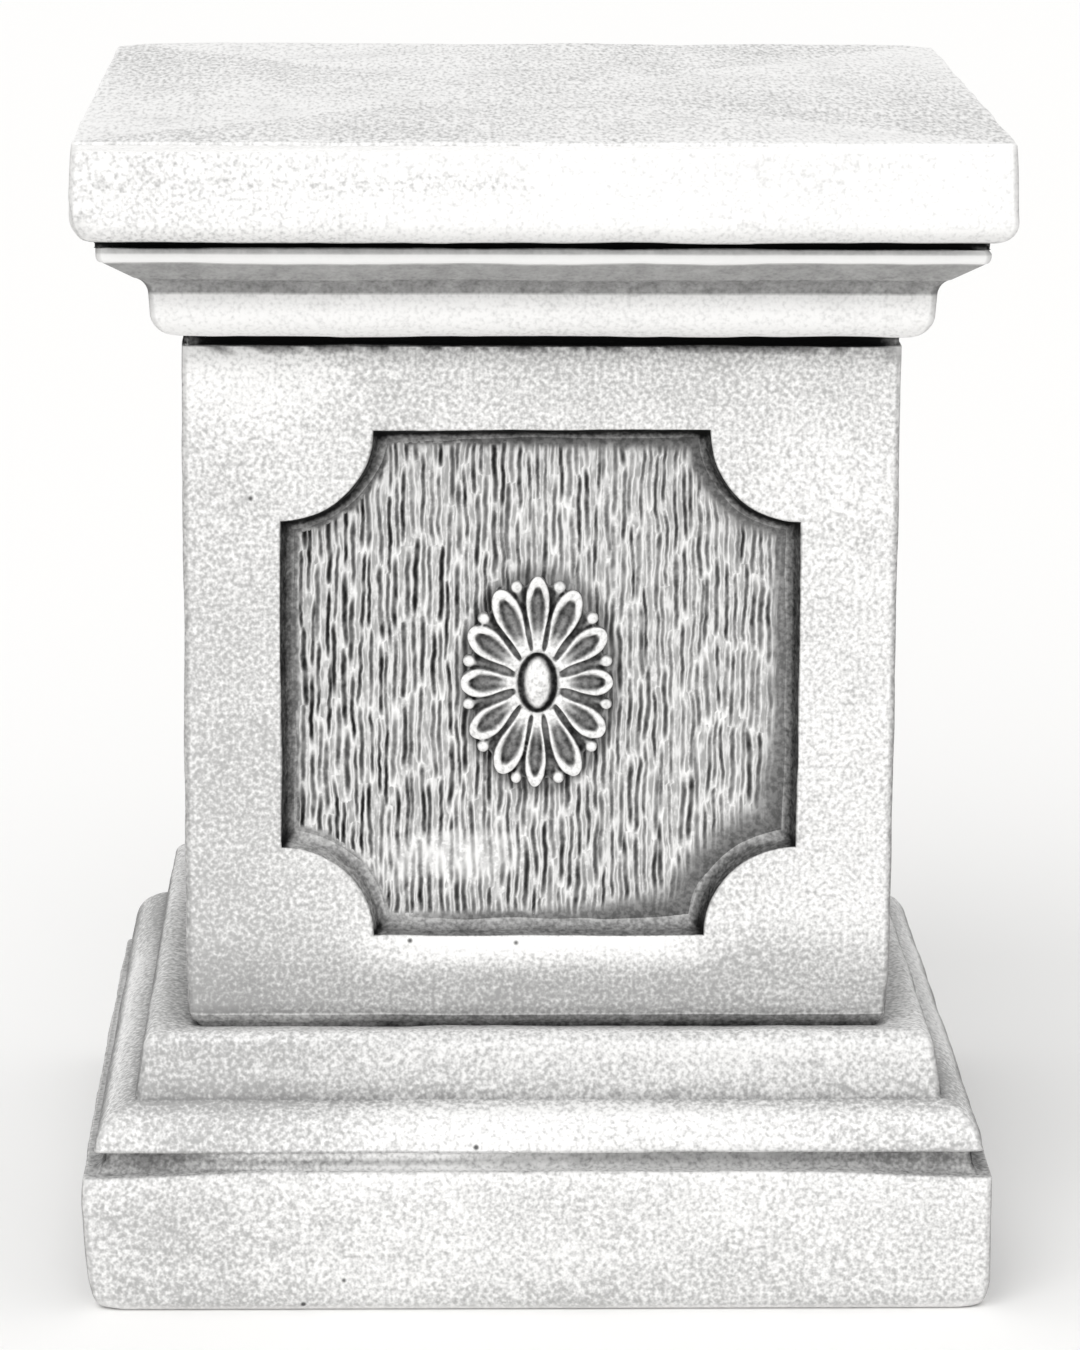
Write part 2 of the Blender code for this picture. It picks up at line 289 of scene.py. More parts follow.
def turnTo(rows, centre, radii, *arcs):
    # Rows on elliptical arcs, 0 degrees pointing outwards and 90 up. An arc has its ends, painted shade and
    # dirt, and steps
    for start, end, dirt, steps in arcs:
        shadeBefore = rows[-1][2]
        for i in range(steps + 1):
            angle = math.radians(start + (end - start) * i / steps)
            half = centre[0] + radii[0] * math.cos(angle)
            height = centre[1] + radii[1] * math.sin(angle)
            rows.append((half, height, shadeBefore + (dirt - shadeBefore) * i / steps))


def capAndBedMould():
    # The quirks under the cap and under the quarter-round are nearly black and the cavetto grey: painted shade
    # for the shadow under the overhangs
    arris, half, quarter = body.arris, body.filletHalf, body.quarterRound
    faceFoot = body.capFoot + body.capRound[1]
    rows = [(0.012, body.height, 0.0)]
    runTo(rows, (body.capTopHalf - arris, body.height, 0.0), spacing=0.011)
    turnTo(rows, (body.capTopHalf - arris, body.height - arris), (arris, arris), (90, 0, 0.0, 3))
    runTo(rows, (body.capHalf, faceFoot, 0.0))
    capCentre = (body.capHalf - body.capRound[0], faceFoot)
    turnTo(rows, capCentre, body.capRound, (0, -50, 0.03, 4), (-62, -90, 0.45, 3))
    back, foot = half - body.capQuirkDepth, body.capFoot - body.capQuirkHeight
    runTo(rows, (half, body.capFoot, 0.8), spacing=0.001)
    runTo(rows, (back, body.capFoot, 1.0), (back, foot, 1.0), (half - 0.0008, foot, 0.60))
    runTo(rows, (half, foot - 0.0008, 0.34), (half, foot - 0.0022, 0.30), (half, foot - 0.0030, 0.06))
    filletCentre = (body.filletFootHalf, body.filletFoot + body.filletRound[1])
    turnTo(rows, filletCentre, body.filletRound, (0, -60, 0.0, 4), (-75, -90, 0.05, 1))
    runTo(rows, (body.filletFootHalf - 0.001, body.filletFoot - 0.0007, 0.36))
    cavettoCentre = (body.cavettoHalf + body.cavettoRound[0], body.cavettoFoot)
    cavettoArcs = ((106, 112, 0.40, 1), (118, 162, 0.38, 4), (170, 180, 0.08, 1))
    turnTo(rows, cavettoCentre, body.cavettoRound, *cavettoArcs)
    runTo(rows, (body.quarterRoundHalf, body.quarterRoundTop, 0.0))
    quarterCentre = (body.quarterRoundHalf - quarter, body.quarterRoundTop)
    turnTo(rows, quarterCentre, (quarter, quarter), (0, -80, 0.0, 9), (-84, -90, 0.85, 2))
    back, top = body.shaftHalf - body.shaftQuirkDepth, body.shaftTop
    runTo(rows, (back, body.quarterRoundTop - quarter, 1.0), (back, top, 1.0))
    runTo(rows, (body.shaftHalf - 0.001, top, 0.8))
    turnTo(rows, (body.shaftHalf - 0.001, top - 0.001), (0.001, 0.001), (90, 0, 0.4, 3))
    return rows


def baseAndBlock():
    # The valley at the shaft's foot and the cove over the block take painted shade for the shadow under the
    # rolls
    rows = [(body.shaftHalf, body.shaftFoot, 0.0)]
    footCentre = (body.shaftHalf - body.shaftFootRound[0], body.shaftFoot)
    footArcs = ((0, -22, 0.08, 2), (-28, -31, 0.42, 1), (-38, -70, 0.44, 3))
    turnTo(rows, footCentre, body.shaftFootRound, *footArcs)
    runTo(rows, (body.valleyHalf, body.valley, 0.48))
    runTo(rows, (body.valleyHalf + 0.003, body.valley + 0.0009, 0.2), spacing=0.0015)
    crestCentre = (body.upperRollCrestHalf, body.upperRollTop - body.upperRollRound)
    runTo(rows, (body.upperRollCrestHalf, body.upperRollTop, 0.05))
    turnTo(rows, crestCentre, (body.upperRollRound, body.upperRollRound), (80, 0, 0.05, 6))
    runTo(rows, (body.stepHalf - 0.0010, body.lowerRollTop + 0.0080, 0.05))
    runTo(rows, (body.stepHalf, body.lowerRollTop + 0.0005, 0.06))
    rollCentre = (body.lowerRollHalf - body.lowerRollRound[0], body.lowerRollTop - body.lowerRollRound[1])
    rollArcs = ((78, 62, 0.06, 3), (57, 45, 0.0, 2), (40, 0, 0.0, 7))
    turnTo(rows, rollCentre, body.lowerRollRound, *rollArcs)
    runTo(rows, (body.lowerRollHalf - 0.0008, body.coveMiddle + 0.0022, 0.12))
    turnTo(rows, (body.coveMouthHalf, body.coveMiddle), body.coveRound, (130, 265, 0.22, 8))
    arris, foot = body.arris, body.blockFootRound
    turnTo(rows, (body.blockHalf - arris, body.blockTop - arris), (arris, arris), (90, 0, 0.0, 3))
    runTo(rows, (body.blockHalf, foot[1], 0.03))
    turnTo(rows, (body.blockHalf - foot[0], foot[1]), foot, (0, -90, 0.16, 5))
    runTo(rows, (0.02, 0.0, 0.3), spacing=0.03)
    return rows


def sideStations(start, bend, end):
    # Where the upright lines stand along a side: sparse margins and a close middle
    margin, middle = body.marginSteps, body.middleSteps
    places = [start + (-bend - start) * i / margin for i in range(margin)]
    places += [-bend + 2 * bend * i / middle for i in range(middle)]
    return places + [bend + (end - bend) * i / margin for i in range(margin + 1)]


def cornerPlaces(side, straight, corner, height, skip=0):
    # Places on the rounding to the right of a side, from that side's face on
    steps = range(skip, body.cornerSteps + 1 - skip)
    turns = [math.radians(90 * i / body.cornerSteps) for i in steps]
    spots = [(straight + corner * math.sin(turn), straight + corner * math.cos(turn)) for turn in turns]
    return [sidePlace(side, x, height, out) for x, out in spots]


def squareRing(half, height):
    # Points round a square with rounded corners, from the left end of the front
    corner = min(body.cornerRound, half / 3)
    straight = half - corner
    bend = (panel.half - panel.quadrant) / (body.shaftHalf - body.cornerRound)
    points = []
    for side in sideNames:
        points += [sidePlace(side, share * straight, height, half) for share in sideStations(-1, bend, 1)]
        points += cornerPlaces(side, straight, corner, height, skip=1)
    return points


def panelRing(inset):
    # The panel's outline drawn in by an inset, clockwise from its upper left, about the panel's middle
    half, quadrant = panel.half, panel.quadrant
    reach = half - math.sqrt(quadrant * quadrant + 2 * quadrant * inset)
    edge = half - inset
    startAngle = math.atan2(edge - half, reach - half) % math.tau
    endAngle = math.atan2(reach - half, edge - half) % math.tau
    steps, middle = 2 * body.marginSteps, body.middleSteps
    quarter = [Vector((-reach + 2 * reach * i / middle, edge)) for i in range(middle)]
    for i in range(steps):
        angle = startAngle + (endAngle - startAngle) * i / steps
        radius = quadrant + inset
        quarter.append(Vector((half + radius * math.cos(angle), half + radius * math.sin(angle))))
    spins = [Matrix.Rotation(math.radians(-90 * turn), 2) for turn in range(4)]
    return [spin @ place for spin in spins for place in quarter]


def faceOutline(top, foot):
    # The shaft face's edge with as many points as the panel's outline, in the same order
    side = body.shaftHalf - body.cornerRound
    bend = panel.half - panel.quadrant
    margin, middle = body.marginSteps, body.middleSteps
    across = sideStations(-side, bend, side)
    down = list(reversed(sideStations(foot, bend, top)))
    path = [Vector((x, top)) for x in across[margin:]]
    path += [Vector((side, z)) for z in down[1:]]
    path += [Vector((x, foot)) for x in reversed(across[:-1])]
    path += [Vector((-side, z)) for z in list(reversed(down))[1:]]
    return path + [Vector((x, top)) for x in across[1:margin]]


def addGrid(work, rings, closed=True):
    # Quads between rings of equally many points. Each point is a place and its dirt
    shadeAndDirtLayer = work.verts.layers.float["dirt"]
    made = []
    for ring in rings:
        row = []
        for place, dirt in ring:
            vert = work.verts.new(place)
            vert[shadeAndDirtLayer] = dirt
            row.append(vert)
        made.append(row)
    count = len(made[0])
    for upper, lower in zip(made, made[1:]):
        for i in range(count if closed else count - 1):
            j = (i + 1) % count
            work.faces.new((upper[i], upper[j], lower[j], lower[i]))
    return made


def wallShade(place, inset, dirt, under):
    # Painted shade by how a wall faces: a wall that faces down is darkest, the lower left corner least, and
    # under adds painted shadow on walls that face down
    half = panel.half
    fromCorner = place - Vector((math.copysign(half, place.x), math.copysign(half, place.y)))
    rounded = max(abs(place.x), abs(place.y)) < half - inset - 1e-5
    if rounded:
        facing = fromCorner.normalized()
    elif abs(place.y) > abs(place.x):
        facing = Vector((0.0, -math.copysign(1.0, place.y)))
    else:
        facing = Vector((-math.copysign(1.0, place.x), 0.0))
    down, up = max(0.0, -facing.y) ** 2, max(0.0, facing.y) ** 2
    facesDown, facesUp, sideways = panel.dirtHeld
    share = facesDown * down + facesUp * up + sideways * facing.x ** 2
    if rounded and place.y < 0:
        share *= panel.lowerCornerDirt[place.x >= 0]
    return dirt * share + under * down


def addPanelSide(work, side, top, foot):
    # The face round the panel, the panel's arris, wall and cove, and a floor that the combed ground hides
    outer = faceOutline(top, foot)
    inner = panelRing(-panel.arris)

    def laid(place, depth, dirt):
        return sidePlace(side, place.x, panel.middle + place.y, body.shaftHalf - depth), dirt

    rings = []
    for k in range(body.frameSteps + 1):
        share = k / body.frameSteps
        rings.append([laid(a.lerp(b, share), 0.0, 0.0) for a, b in zip(outer, inner)])
    steps = []
    for i in range(1, 4):
        angle = math.radians(30 * i)
        inset, depth = panel.arris * (math.sin(angle) - 1), panel.arris * (1 - math.cos(angle))
        steps.append((inset, depth, panel.arrisDirt[i - 1], 0.0))
    wallFoot = panel.depth - panel.cove
    steps.append((panel.draft * 0.4, (panel.arris + wallFoot) / 2, 1.0, 0.0))
    for i in range(7):
        angle = math.radians(90 * i / 6)
        inset = panel.draft + panel.cove * (1 - math.cos(angle))
        depth = wallFoot + panel.cove * math.sin(angle)
        steps.append((inset, depth, panel.coveDirt[i], panel.coveShadow[i]))
    steps.append((panel.draft + panel.cove + 0.001, panel.depth + panel.tuck, 0.5, 0.0))
    # The arris, wall and cove rings carry painted shade, most on walls that face down
    for inset, depth, dirt, under in steps:
        rings.append([laid(place, depth, wallShade(place, inset, dirt, under)) for place in panelRing(inset)])
    work.faces.new(addGrid(work, rings)[-1])


def addShaftCorner(work, side, top, foot):
    # The rounded upright corner to the right of a side
    straight = body.shaftHalf - body.cornerRound
    strips = []
    for z in sideStations(foot, panel.half - panel.quadrant, top):
        places = cornerPlaces(side, straight, body.cornerRound, panel.middle + z)
        strips.append([(place, 0.0) for place in places])
    addGrid(work, strips, closed=False)


def closeSeams(mesh, distance):
    work = bmesh.new()
    work.from_mesh(mesh)
    bmesh.ops.remove_doubles(work, verts=work.verts, dist=distance)
    bmesh.ops.recalc_face_normals(work, faces=work.faces)
    openEdges = sum(1 for edge in work.edges if not edge.is_manifold)
    work.to_mesh(mesh)
    work.free()
    return openEdges


def buildBody():
    work = bmesh.new()
    work.verts.layers.float.new("dirt")
    upper, lower = capAndBedMould(), baseAndBlock()
    for rows, lastRow in ((upper, 0), (lower, -1)):
        made = addGrid(work, [[(place, dirt) for place in squareRing(half, z)] for half, z, dirt in rows])
        work.faces.new(made[lastRow])
    top = upper[-1][1] - panel.middle
    foot = lower[0][1] - panel.middle
    for side in sideNames:
        addPanelSide(work, side, top, foot)
        addShaftCorner(work, side, top, foot)
    mesh = bpy.data.meshes.new("plinthBody")
    work.to_mesh(mesh)
    work.free()
    print("body has", closeSeams(mesh, 2e-5), "open edges")
    return mesh


# How the casting departs from the true section, by wear and by the mould
bodyWear = {
    "capRightLean": 0.0010,
    "blockRightLean": 0.0005,
    "blockLeftBulge": 0.0009,
    "blockLeftBulgeHeight": 0.0470,
    "blockLeftTaper": 0.0020,
    "blockTopSag": 0.0026,
    "sagStart": 0.100,
    "grooveEnd": 0.011,
    "coveFill": 0.92,
    "coveFillReach": ((-0.152, -0.110), (-0.055, 0.035)),
    "spots": (  # Where it is chipped or worn, how far round and how deep
        ((-0.1794, -0.1794, 0.0), 0.014, 0.0022),
        ((0.1794, -0.1794, 0.0), 0.012, 0.0024),
        ((-0.1400, -0.1400, 0.116), 0.010, 0.0009),
        ((0.1400, -0.1400, 0.116), 0.010, 0.0016),
        ((-0.1790, 0.1790, 0.463), 0.016, 0.0016),
        ((0.1790, 0.1790, 0.463), 0.014, 0.0014),
        ((-0.1812, -0.1812, 0.430), 0.014, 0.0025),
        ((0.1755, -0.1755, 0.070), 0.011, 0.0009),
        ((-0.1755, -0.1755, 0.070), 0.011, 0.0007),
        ((0.1500, 0.1790, 0.001), 0.014, 0.0035),
        ((0.1794, 0.0600, 0.057), 0.009, 0.0020),
    ),
}
wear = SimpleNamespace(**bodyWear)


def ringHalf(x, y):
    # Half width of the square ring with rounded corners that a point lies on
    corner = body.cornerRound
    apart = abs(x) - abs(y)
    if abs(apart) >= corner:
        return max(abs(x), abs(y))
    return (abs(x) + abs(y) + 2 * corner - math.sqrt(2 * corner * corner - apart * apart)) / 2


def wearBody(mesh):
    capBack, shaftBack = body.filletHalf - body.capQuirkDepth, body.shaftHalf - body.shaftQuirkDepth
    quarterFoot = body.quarterRoundTop - body.quarterRound
    grooves = (
        (body.filletHalf, capBack, body.capFoot + 1e-4, body.capFoot - body.capQuirkHeight - 1e-4),
        (body.shaftHalf - 0.001, shaftBack, quarterFoot + 1e-4, body.shaftTop - 1e-4),
    )
    normals = [vert.normal.copy() for vert in mesh.vertices]
    for vert, normal in zip(mesh.vertices, normals):
        x, y, z = vert.co
        along = min(abs(x), abs(y))
        if x > 0.150 and z > 0.42:
            vert.co.x -= wear.capRightLean * (1 - rise(z, 0.433, 0.4615))
        if z < 0.0605 and abs(x) > 0.150:
            if x > 0:
                vert.co.x -= wear.blockRightLean
            else:
                bulge = math.exp(-(((z - wear.blockLeftBulgeHeight) / 0.012) ** 2))
                taper = wear.blockLeftTaper * (1 - rise(z, 0.0, 0.030))
                vert.co.x += taper - wear.blockLeftBulge * bulge
        if z < 0.062 and max(abs(x), abs(y)) > 0.150:
            share = rise(z, 0.040, 0.058) * (1 - rise(z, 0.058, 0.062))
            vert.co.z -= wear.blockTopSag * share * rise(along, wear.sagStart, 0.179)
        if y < -0.160 and 0.0565 < z < 0.0668:
            (begins, full), (fades, ends) = wear.coveFillReach
            fill = wear.coveFill * rise(x, begins, full) * (1 - rise(x, fades, ends))
            vert.co.y -= fill * max(0.0, body.coveMouthHalf + y)
            if z > body.coveMiddle + 0.0016 and y > 0.0015 - body.lowerRollHalf:
                vert.co.z -= fill * (z - body.coveMiddle - 0.0016)
        for front, back, grooveTop, grooveFoot in grooves:
            ring = ringHalf(x, y)
            if grooveFoot < z < grooveTop and ring < front:
                fill = (front - ring) * rise(along, back - wear.grooveEnd, back - body.cornerRound)
                edge = ring - body.cornerRound - 1e-5
                vert.co.x += math.copysign(fill, x) if abs(x) > edge else 0.0
                vert.co.y += math.copysign(fill, y) if abs(y) > edge else 0.0
        for place, reach, depth in wear.spots:
            gap = (Vector((x, y, z)) - Vector(place)).length
            if gap < reach:
                vert.co -= normal * depth * (1 - rise(gap, 0.0, reach))
        vert.co.z = max(vert.co.z, 0.0)
    mesh.update()


# Grain, painted shade and dirt, zone by zone from the top down. A zone has its foot, a share of grain and
# amounts that come to it, each faded from where it is nothing to where it is full. x runs along the side and z
# up it, off is how far off the side's middle a point lies, and a seam is a level line with its height and
# width
stoneZones = {
    "grain": (
        ("top", body.height - 0.003, 0.33, (-0.22, "x", -0.10, 0.12)),
        (
            "capFace",
            body.capFoot,
            0.085,
            (0.08, "x", -0.03, -0.16),
            (0.16, "seam", 0.4472, 0.0020, "x", 0.01, -0.05),
        ),
        ("bedMould", body.shaftTop - 0.0005, 0.0, (0.08, "z", 0.412, 0.408)),
        (
            "shaft",
            body.shaftFoot - 0.0042,
            0.43,
            (0.30, "x", -0.04, -0.135, "z", 0.36, 0.20),
            (0.36, "z", 0.150, 0.118),
            (0.15, "z", 0.340, 0.365, "x", -0.09, -0.05),
            (-0.12, "x", 0.06, 0.12),
            (-0.30, "z", 0.335, 0.365, "x", -0.06, -0.11),
        ),
        ("valley", body.valley - 0.0008, 0.45),
        (
            "slope",
            body.lowerRollTop + 0.0004,
            0.45,
            (-0.20, "z", 0.094, 0.102, "x", -0.08, -0.02),
            (0.25, "x", -0.02, -0.10),
            (0.16, "z", 0.092, 0.086),
        ),
        (
            "roll",
            body.blockTop,
            0.21,
            (0.40, "x", -0.03, -0.13),
            (0.25, "x", 0.08, 0.15),
            (0.35, "z", 0.079, 0.082),
        ),
        (
            "block",
            -1.0,
            0.38,
            (0.18, "x", -0.05, -0.17),
            (0.25, "z", 0.02, 0.0),
            (-0.12, "z", 0.030, 0.055),
        ),
    ),
    "cleanSpot": (1.0, "z", 0.126, 0.137, "z", 0.146, 0.1415, "off", 0.085, 0.045),
    "cleanSpotGrain": 0.48,
    "shaftFootWash": (0.10, "z", 0.150, 0.118),
    "shaftTopWash": (0.20, "z", body.shaftTop - 0.012, body.shaftTop),
    "coveLipWash": (0.10, "z", 0.0685, 0.0645, "z", 0.0640, 0.0645, "x", -0.02, 0.05),
    "coveLip": 0.0645,
    "coveLine": (1.7, "seam", 0.0606, 0.0015),
    "coveEnd": (1.6, "x", -0.120, -0.160),
    "coveMiddle": (1.0, "x", -0.045, 0.015),
    "coveRight": (0.35, "x", 0.05, 0.12),
    "valleyDirt": (0.45, "x", -0.095, -0.050),
    "grooveEnd": (0.30, 0.014, 0.004),
    "flankLess": 0.6,
    "flankGrain": 0.80,
    "flankWash": 0.20,
    "sideWash": 0.12,
    "cornerWash": 0.20,
}
zones = SimpleNamespace(**stoneZones)


def faded(term, at):
    # An amount times each of its fades at a point
    amount = term[0]
    for i in range(1, len(term), 3):
        kind, start, end = term[i : i + 3]
        if kind == "seam":
            amount *= math.exp(-(((at["z"] - start) / end) ** 2))
        else:
            amount *= rise(at[kind], start, end)
    return amount


def zoneOf(place, normal):
    # Grain cover, added wash of painted shade (the foot wash only darkens the shaft towards its foot) and the
    # factor for the painted shade and dirt of the moulding's own rows
    x, y, z = place
    if abs(x) < abs(y):
        across = x if y < 0 else -x
    else:
        across = y if x > 0 else -y
    at = {"x": across, "off": abs(across), "z": z}
    flank = rise(abs(normal.x), 0.70, 0.95)
    corner = rise(min(abs(normal.x), abs(normal.y)), 0.15, 0.45)
    wash, factor = zones.sideWash * flank + zones.cornerWash * corner, 1.0
    zone, _, grain, *more = next(row for row in zones.grain if z > row[1])
    grain += sum(faded(term, at) for term in more)
    if zone == "bedMould":
        end = body.filletHalf if z > body.filletFoot else body.shaftHalf
        if z > body.filletFoot or z < body.quarterRoundTop - body.quarterRound + 0.0001:
            less, starts, ends = zones.grooveEnd
            factor = 1 - less * rise(abs(across), end - starts, end - ends)
    elif zone == "shaft":
        clean = faded(zones.cleanSpot, at)
        grain -= zones.cleanSpotGrain * clean
        wash += faded(zones.shaftFootWash, at) * (1 - clean) + faded(zones.shaftTopWash, at)
    elif zone == "valley":
        factor = 1 - zones.valleyDirt[0] + faded(zones.valleyDirt, at)
    elif zone == "slope":
        factor = 1 - zones.flankLess * flank
    elif zone == "roll":
        wash += faded(zones.coveLipWash, at)
        # The cove under the lower roll takes painted shade, thin in the middle reach
        if z < zones.coveLip:
            thin, middle = faded(zones.coveLine, at), faded(zones.coveMiddle, at)
            filled = thin + (0.6 - 0.6 * thin) * middle + faded(zones.coveRight, at)
            factor = max(faded(zones.coveEnd, at), filled)
    # Flanks that face sideways below the shaft get more grain and a wash, both painted shade
    if z < body.shaftFoot and flank:
        grain = max(grain, zones.flankGrain * flank)
        wash += zones.flankWash * flank
    return grain, wash, factor


def mark(mesh, name, values):
    # Writes one number for each point
    kept = mesh.attributes.get(name) or mesh.attributes.new(name, "FLOAT", "POINT")
    kept.data.foreach_set("value", values)


def markZones(mesh):
    zoned = [zoneOf(vert.co, vert.normal) for vert in mesh.vertices]
    rowShadeAndDirt = [item.value for item in mesh.attributes["dirt"].data]
    mark(mesh, "grain", [max(0.0, cover) for cover, _, _ in zoned])
    mark(mesh, "dirt", [min(1.0, dirt * factor + wash) for dirt, (_, wash, factor) in zip(rowShadeAndDirt, zoned)])
    mark(mesh, "top", [float(vert.co.z > body.height - 0.002) for vert in mesh.vertices])


# The unevenness of a cast surface, and how far each point stands above or below what is round it
castSurface = {
    "Swell Depth": 0.0007,
    "Swell Size": 0.045,
    "Ripple Depth": 0.00022,
    "Ripple Size": 0.010,
    "Seed": 3.0,
    "Flat Foot": 0.006,
    "Blur Steps": 7,
    "Relief Scale": 0.0026,
}


def castSurfaceTree():
    kinds = {"Geometry": "Geometry", **dict.fromkeys(castSurface, "Float"), "Blur Steps": "Int"}
    tree, given = newTree("castSurface", kinds)
    place = add(tree, "GeometryNodeInputPosition")
    normal = add(tree, "GeometryNodeInputNormal")
    seeded = turnVector("ADD", place, point(0.0, 0.0, given["Seed"]))
    depth = 0.0
    for size, share in (("Swell Size", "Swell Depth"), ("Ripple Size", "Ripple Depth")):
        waves = cloud(seeded, 1.0 / given[size], 1.0)
        depth = timesPlus(ease(waves, 0.25, 0.75), given[share], depth)
    depth = depth * ease(split(place)[2], 0.0, given["Flat Foot"])
    uneven = moved(given["Geometry"], Offset=turnVector("SCALE", normal, depth * -1.0))
    values = {"Iterations": given["Blur Steps"]}
    blurred = addNode(tree, "GeometryNodeBlurAttribute", values, data_type="FLOAT_VECTOR")
    vectorIn = [socket for socket in blurred.inputs if socket.type == "VECTOR"][0]
    vectorOut = [socket for socket in blurred.outputs if socket.type == "VECTOR"][0]
    feed(vectorIn, place)
    stands = turnVector("DOT_PRODUCT", turnVector("SUBTRACT", place, vectorOut), normal, "Value")
    return endTree(tree, stored(uneven, "relief", stands / given["Relief Scale"]), given["Material"])


# The combed ground of a panel: upright strokes that wander, start and stop
groundRelief = {
    "Panel Half": panel.half,
    "Quadrant": panel.quadrant,
    "Inset": 0.0030,
    "Hidden": 0.0022,
    "Columns": 431,
    "Rows": 181,
    "Pitch": 0.0034,
    "Stroke": 0.031,
    "Half Width": 0.00084,
    "Tail": 0.0050,
    "Shift": 0.62,
    "Lean": 0.75,
    "Wander": 0.0018,
    "Wander Size": 0.014,
    "Cut": 0.0009,
    "Fade Width": 0.0045,
    "Corner Fade": 0.0130,
    "Edge Shade": 0.36,
    "Worn X": -0.036,
    "Worn Y": -0.071,
    # Painted shade round the flower, set on the front ground only
    "Halo": 0.0,
    "Halo Width": 0.0303,
    "Halo Height": 0.0430,
    "Slab": 0.0030,
    "Seed": 1.0,
}

# Ranges that chance draws from. Four numbers are where a fade starts and ends and what it gives there
strokeChance = {
    "girth": (1.25, 0.88),
    "length": (0.12, 0.26),
    "tone": (0.68, 1.05),
    "leftToRight": (-0.060, 0.050, 1.06, 0.90),
    "patchSize": 0.0040,
    "patches": (0.32, 0.58, 0.70, 1.05),
    "raggedness": 170.0,
}
chance = SimpleNamespace(**strokeChance)

# How the ground is worn, and where it takes painted shade near its walls, its corners and the flower
groundWear = {
    "raggedEdge": 0.006,
    "bareEdge": (0.0012, 0.0024),
    "sideFade": (-0.090, 0.090, 0.4, 1.3),
    "lowerRight": (0.105, 0.145),
    "lowerLeft": (0.120, 0.150, 1.0, 0.4),
    "upperDirt": (0.050, 0.094, 1.0, 1.4),
    "haloFade": (1.00, 1.13, 1.0, 0.0),
    "wornReach": (0.034, 0.013),
    "wornFade": (0.35, 1.15, 0.62, 0.0),
}
edge = SimpleNamespace(**groundWear)


